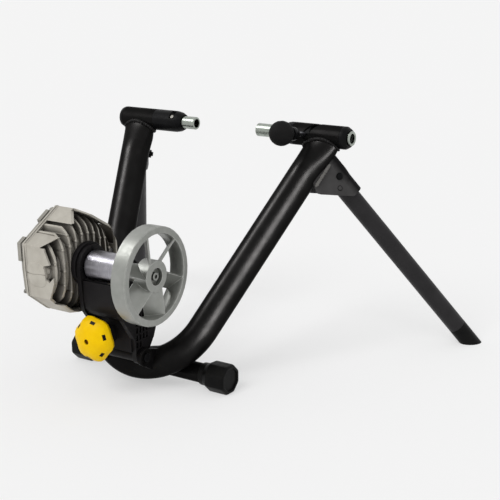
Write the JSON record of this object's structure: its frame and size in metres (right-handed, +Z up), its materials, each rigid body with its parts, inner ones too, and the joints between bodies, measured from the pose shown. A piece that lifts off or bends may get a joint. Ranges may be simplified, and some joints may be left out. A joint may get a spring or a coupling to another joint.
{
  "type": "fluid bike trainer",
  "caption": "Folding bike trainer: U-shaped tube stand with clamping axle tips, and a finned fluid unit with roller, bladed flywheel and tension knob that swings against the tyre.",
  "frame": {"origin": "on the floor, at the centre of the outline seen from above", "axes": "+X to the rider's right along the wheel's axle, +Y forward along the bicycle, +Z up"},
  "size_m": [0.7988, 0.6296, 0.4196],
  "materials": {
    "powder_coat": "satin black powder coat on steel tube",
    "black_plastic": "moulded, fine texture",
    "rubber": "moulded, matt",
    "pressed_steel": "dark grey coated pressing",
    "black_screw": "blackened steel",
    "zinc_plated_steel": "zinc plated",
    "dark_steel": "darkened steel",
    "black_casting": "black painted casting",
    "cast_aluminium": "as-cast, bead blasted",
    "flywheel_metal": "cast blades, turned rim",
    "roller_steel": "turned and brushed",
    "knob_yellow": "moulded, semi-gloss"
  },
  "bodies": {
    "frame": {"main_tube": "powder_coat", "left_cross_tube": "powder_coat", "right_cross_tube": "powder_coat", "left_nose": "black_plastic", "right_nose": "black_plastic", "left_lock_screw": "zinc_plated_steel", "left_end_plug": "black_plastic", "right_end_cap": "black_plastic", "crossbar_tube": "powder_coat", "left_bar_foot": "rubber", "right_bar_foot": "rubber", "left_leg_bracket": "pressed_steel", "right_leg_bracket": "pressed_steel", "left_leg_bolt": "black_screw", "right_leg_bolt": "black_screw", "left_leg_nut": "black_screw", "right_leg_nut": "black_screw", "left_leg_rivet": "black_screw", "right_leg_rivet": "black_screw", "frame_lug": "powder_coat", "anchor_pin": "zinc_plated_steel", "pivot_bolt": "zinc_plated_steel", "pivot_nut": "zinc_plated_steel"},
    "left_tip_body": {"left_tip": "zinc_plated_steel"},
    "right_tip_body": {"right_tip_tube": "zinc_plated_steel"},
    "clamp_lever": {"lever_collar": "zinc_plated_steel", "lever_rod": "dark_steel", "lever_ball": "black_plastic"},
    "right_leg": {"right_leg_tube": "powder_coat", "right_leg_boot": "rubber", "right_leg_bush": "zinc_plated_steel"},
    "left_leg": {"left_leg_tube": "powder_coat", "left_leg_boot": "rubber", "left_leg_bush": "zinc_plated_steel"},
    "unit": {"yoke": "black_casting", "left_bearing": "zinc_plated_steel", "right_bearing": "zinc_plated_steel", "housing_body": "cast_aluminium", "shaft_seal": "rubber", "housing_gasket": "rubber", "housing_cover": "cast_aluminium", "flange_screw_1": "zinc_plated_steel", "flange_screw_2": "zinc_plated_steel", "flange_screw_3": "zinc_plated_steel", "flange_screw_4": "zinc_plated_steel", "cover_screw_1": "zinc_plated_steel", "cover_screw_2": "zinc_plated_steel", "cover_screw_3": "zinc_plated_steel", "cover_screw_4": "zinc_plated_steel", "cover_screw_5": "zinc_plated_steel"},
    "rotor": {"shaft": "zinc_plated_steel", "roller": "roller_steel", "impeller": "cast_aluminium", "flywheel": "flywheel_metal", "flywheel_bolt": "dark_steel"},
    "knob_bolt": {"tension_bolt": "zinc_plated_steel"},
    "washer": {"knob_washer": "zinc_plated_steel"},
    "knob_body": {"knob": "knob_yellow"}
  },
  "joints": [
    {"name": "left_tip_slide", "type": "slide", "parent": "frame", "child": "left_tip_body", "axis": [1, 0, 0], "range_m": [-0.012, 0.006]},
    {"name": "clamp_slide", "type": "slide", "parent": "frame", "child": "right_tip_body", "axis": [1, 0, 0], "range_m": [0, 0.017]},
    {"name": "lever_turn", "type": "hinge", "parent": "right_tip_body", "child": "clamp_lever", "pos_m": [0.163, 0.0928, 0.385], "axis": [-1, 0, 0], "range_deg": [0, 76]},
    {"name": "right_leg_fold", "type": "hinge", "parent": "frame", "child": "right_leg", "pos_m": [0.2096, 0.0933, 0.32], "axis": [-0.8442, 0.5217, -0.1228], "range_deg": [0, 71]},
    {"name": "left_leg_fold", "type": "hinge", "parent": "frame", "child": "left_leg", "pos_m": [-0.2096, 0.0933, 0.32], "axis": [-0.8442, -0.5217, 0.1228], "range_deg": [0, 71]},
    {"name": "unit_tilt", "type": "hinge", "parent": "frame", "child": "unit", "pos_m": [0, -0.2171, 0.0638], "axis": [-1, 0, 0], "range_deg": [-4, 8]},
    {"name": "rotor_spin", "type": "hinge", "parent": "unit", "child": "rotor", "pos_m": [0, -0.2377, 0.2082], "axis": [1, 0, 0], "continuous": true},
    {"name": "bolt_swing", "type": "hinge", "parent": "frame", "child": "knob_bolt", "pos_m": [-0.0045, -0.1692, 0.1016], "axis": [-1, 0, 0], "range_deg": [-1.4, 2.8]},
    {"name": "washer_slide", "type": "slide", "parent": "knob_bolt", "child": "washer", "axis": [0, 1, 0], "range_m": [-0.0027, 0.00535]},
    {"name": "knob_turn", "type": "hinge", "parent": "washer", "child": "knob_body", "pos_m": [-0.0045, -0.2672, 0.1016], "axis": [0, 1, 0], "range_deg": [-476, 951]}
  ],
  "couplings": [
    {"joint": "lever_turn", "follows": "clamp_slide", "rad_per_m": 78.02},
    {"joint": "bolt_swing", "follows": "unit_tilt", "ratio": 0.344},
    {"joint": "washer_slide", "follows": "unit_tilt", "m_per_rad": 0.0378},
    {"joint": "knob_turn", "follows": "unit_tilt", "ratio": 118.8}
  ]
}
